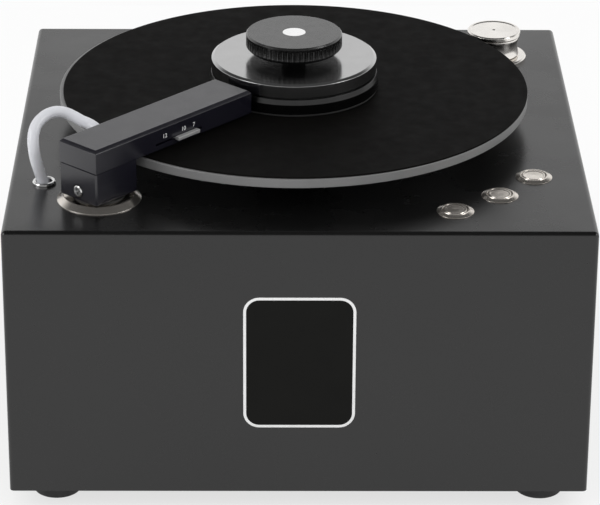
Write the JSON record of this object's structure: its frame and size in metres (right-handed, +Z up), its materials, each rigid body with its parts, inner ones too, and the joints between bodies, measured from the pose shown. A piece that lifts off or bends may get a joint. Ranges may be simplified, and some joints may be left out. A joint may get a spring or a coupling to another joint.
{
  "type": "record cleaning machine",
  "caption": "Box-shaped vacuum record cleaner with a belt-driven platter, screw-down label clamp, swinging suction arm with hose, push buttons and a speed dial.",
  "frame": {"origin": "centre of the footprint, on the surface the feet stand on", "axes": "+Z up, +Y from the front with the badge to the back, +X to the right seen from the front"},
  "size_m": [0.36, 0.347, 0.25],
  "materials": {
    "dark_steel": "satin",
    "black_steel": "satin",
    "zinc": "satin",
    "foot_rubber": "matte",
    "badge_black": "gloss",
    "black_plastic": "matte",
    "red_plastic": "gloss",
    "brass": "polished",
    "platter_alu": "satin",
    "mat_rubber": "matte",
    "steel": "polished",
    "cast_alu": "cast",
    "bronze": "satin",
    "washer_plastic": "matte",
    "belt_rubber": "matte",
    "motor_can": "satin",
    "clamp_grey": "anodised",
    "label_mirror": "polished",
    "knob_black": "anodised",
    "cap_bright": "polished",
    "arm_black": "anodised",
    "velvet": "pile",
    "turned_steel": "turned",
    "nipple_steel": "polished",
    "silicone": "translucent",
    "control_blue": "matte",
    "tank_plastic": "translucent",
    "board_green": "matte",
    "fan_alu": "satin"
  },
  "bodies": {
    "cabinet_set": {"cabinet": "dark_steel", "base_plate": "black_steel", "case_screws": "zinc", "feet": "foot_rubber", "foot_screws": "zinc", "badge_plate": "badge_black", "rear_bay": "black_steel", "mains_inlet": "black_plastic", "switch_frame": "black_plastic", "drain_valve": "brass", "bearing_housing": "cast_alu", "bearing_bushes": "bronze", "thrust_washer": "washer_plastic", "drive_belt": "belt_rubber", "drive_motor": "motor_can", "motor_bracket": "zinc", "arm_base_ring": "turned_steel", "arm_bush": "black_plastic", "suction_hose": "silicone", "hose_socket": "nipple_steel", "tank_hose": "silicone", "button_bezels": "turned_steel", "button_nuts": "zinc", "dial_flange": "turned_steel", "speed_control": "control_blue", "waste_tank": "tank_plastic", "vacuum_motor": "motor_can", "suction_duct": "black_plastic", "control_board": "board_green", "power_supply": "zinc"},
    "platter_set": {"platter": "platter_alu", "platter_mat": "mat_rubber", "spindle": "steel", "platter_pulley": "black_plastic"},
    "motor_rotor": {"motor_pulley": "brass"},
    "label_clamp": {"clamp_base": "clamp_grey", "label_disc": "label_mirror", "clamp_seal": "foot_rubber"},
    "clamp_screw": {"clamp_knob": "knob_black", "knob_cap": "cap_bright", "clamp_nut": "brass"},
    "vacuum_arm": {"arm_beam": "arm_black", "arm_sole": "arm_black", "velvet_strips": "velvet", "sole_screws": "zinc", "arm_block": "arm_black", "block_screws": "steel", "arm_column": "steel", "column_collar": "zinc", "hose_nipple": "nipple_steel"},
    "record_size_slider": {"size_slider": "steel", "slot_shutter": "zinc"},
    "front_button": {"button_cap_1": "turned_steel"},
    "middle_button": {"button_cap_2": "turned_steel"},
    "rear_button": {"button_cap_3": "turned_steel"},
    "dial": {"speed_dial": "turned_steel", "dial_shaft": "steel"},
    "mains_rocker": {"power_rocker": "red_plastic"},
    "drain_lever": {"drain_tap": "black_plastic"},
    "fan_rotor": {"vacuum_fan": "fan_alu"}
  },
  "joints": [
    {"name": "platter_spin", "type": "hinge", "parent": "cabinet_set", "child": "platter_set", "pos_m": [-0.0028, 0.007, 0.1897], "axis": [0, 0, 1], "continuous": true},
    {"name": "motor_spin", "type": "hinge", "parent": "cabinet_set", "child": "motor_rotor", "pos_m": [0.01998, -0.078, 0.118], "axis": [0, 0, 1], "continuous": true},
    {"name": "clamp_lift", "type": "slide", "parent": "platter_set", "child": "label_clamp", "axis": [0, 0, 1], "range_m": [0, 0.009]},
    {"name": "clamp_knob_turn", "type": "hinge", "parent": "label_clamp", "child": "clamp_screw", "pos_m": [-0.0028, 0.007, 0.245], "axis": [0, 0, 1], "range_deg": [0, 1080]},
    {"name": "arm_swing", "type": "hinge", "parent": "cabinet_set", "child": "vacuum_arm", "pos_m": [-0.1231, -0.1223, 0.1897], "axis": [0, 0, 1], "range_deg": [0, 72], "deforming": ["suction_hose"]},
    {"name": "size_slide", "type": "slide", "parent": "vacuum_arm", "child": "record_size_slider", "axis": [0.6812, 0.7321, 0], "range_m": [-0.0169, 0.0048]},
    {"name": "front_button_press", "type": "slide", "parent": "cabinet_set", "child": "front_button", "axis": [0, 0, -1], "range_m": [0, 0.002], "stiffness_N_per_m": 600, "springref_m": -0.001},
    {"name": "middle_button_press", "type": "slide", "parent": "cabinet_set", "child": "middle_button", "axis": [0, 0, -1], "range_m": [0, 0.002], "stiffness_N_per_m": 600, "springref_m": -0.001},
    {"name": "rear_button_press", "type": "slide", "parent": "cabinet_set", "child": "rear_button", "axis": [0, 0, -1], "range_m": [0, 0.002], "stiffness_N_per_m": 600, "springref_m": -0.001},
    {"name": "speed_dial_turn", "type": "hinge", "parent": "cabinet_set", "child": "dial", "pos_m": [0.13448, 0.11936, 0.2], "axis": [0, 0, 1], "range_deg": [-270, 0]},
    {"name": "mains_rocker_tilt", "type": "hinge", "parent": "cabinet_set", "child": "mains_rocker", "pos_m": [-0.009, 0.1455, 0.055], "axis": [1, 0, 0], "range_deg": [-16, 0]},
    {"name": "drain_tap_turn", "type": "hinge", "parent": "cabinet_set", "child": "drain_lever", "pos_m": [-0.082, 0.1545, 0.055], "axis": [0, 0, 1], "range_deg": [0, 90]},
    {"name": "fan_spin", "type": "hinge", "parent": "cabinet_set", "child": "fan_rotor", "pos_m": [0.1, 0.088, 0.11], "axis": [0, 0, 1], "continuous": true}
  ],
  "couplings": [
    {"joint": "motor_spin", "follows": "platter_spin", "ratio": 4},
    {"joint": "clamp_knob_turn", "follows": "clamp_lift", "rad_per_m": 2094.4}
  ]
}
